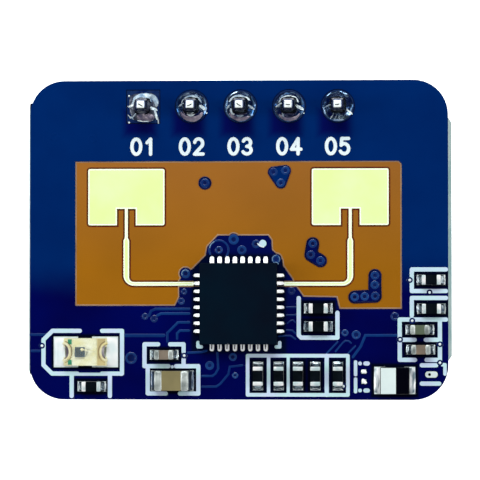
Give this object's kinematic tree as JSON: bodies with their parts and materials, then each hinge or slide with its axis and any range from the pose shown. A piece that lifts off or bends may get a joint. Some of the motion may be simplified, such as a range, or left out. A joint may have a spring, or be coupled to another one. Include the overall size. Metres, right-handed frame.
{
  "type": "microwave radar sensor module",
  "caption": "Small printed radar board with patch antennas in a bare window, a radar chip, an indicator light and a pin header soldered from the antenna side.",
  "frame": {"origin": "on the middle pin, at the face of the header strip that meets a carrier board", "axes": "+X along the pin row, +Y from the parts towards the pin edge, +Z out of the antenna side"},
  "size_m": [0.0221, 0.0167, 0.0115],
  "materials": {
    "laminate": "satin glass-filled laminate, amber in the bare window",
    "solder_mask": "semi-gloss dark blue film",
    "plated_copper": "smooth bright plating on copper",
    "white_ink": "matt printed ink",
    "black_nylon": "satin moulded plastic",
    "chip_resin": "fine matt moulding resin",
    "tin": "bright tin plating",
    "solder": "bright wavy solder",
    "tinned_land": "bright tinned copper",
    "pin_metal": "bright plated pin",
    "led_base": "satin white board",
    "gold": "thin gold plating",
    "led_die": "dark crystal die",
    "clear_resin": "clear cast resin",
    "resistor_body": "black glaze on white ceramic",
    "capacitor_ceramic": "satin tan ceramic",
    "crystal_ceramic": "matt ceramic tub",
    "crystal_metal": "welded plated lid"
  },
  "bodies": {
    "root": {"back_capacitor_end_caps": "tin", "back_capacitors": "capacitor_ceramic", "back_lands": "tinned_land", "back_solder": "solder", "back_solder_mask": "solder_mask", "board": "laminate", "capacitor_1": "capacitor_ceramic", "capacitor_2": "capacitor_ceramic", "capacitor_3": "capacitor_ceramic", "capacitor_4": "capacitor_ceramic", "capacitor_end_caps": "tin", "controller_chip": "chip_resin", "controller_leads": "tin", "crystal_case": "crystal_ceramic", "crystal_lid": "crystal_metal", "diode_band": "white_ink", "diode_body": "chip_resin", "diode_terminals": "tin", "front_lands": "tinned_land", "front_solder": "solder", "front_solder_mask": "solder_mask", "header_pin_1": "pin_metal", "header_pin_2": "pin_metal", "header_pin_3": "pin_metal", "header_pin_4": "pin_metal", "header_pin_5": "pin_metal", "header_strip": "black_nylon", "led_base": "led_base", "led_die": "led_die", "led_lens": "clear_resin", "led_terminals": "gold", "left_antenna": "plated_copper", "pin_solder_1": "solder", "pin_solder_2": "solder", "pin_solder_3": "solder", "pin_solder_4": "solder", "pin_solder_5": "solder", "plated_hole_1": "tinned_land", "plated_hole_2": "tinned_land", "plated_hole_3": "tinned_land", "plated_hole_4": "tinned_land", "plated_hole_5": "tinned_land", "radar_chip": "chip_resin", "radar_chip_leads": "tin", "radar_chip_solder": "solder", "regulator_body": "chip_resin", "regulator_legs": "tin", "resistor_1": "resistor_body", "resistor_10": "resistor_body", "resistor_2": "resistor_body", "resistor_3": "resistor_body", "resistor_4": "resistor_body", "resistor_5": "resistor_body", "resistor_6": "resistor_body", "resistor_7": "resistor_body", "resistor_8": "resistor_body", "resistor_9": "resistor_body", "resistor_end_caps": "tin", "right_antenna": "plated_copper", "silkscreen": "white_ink"}
  },
  "joints": []
}
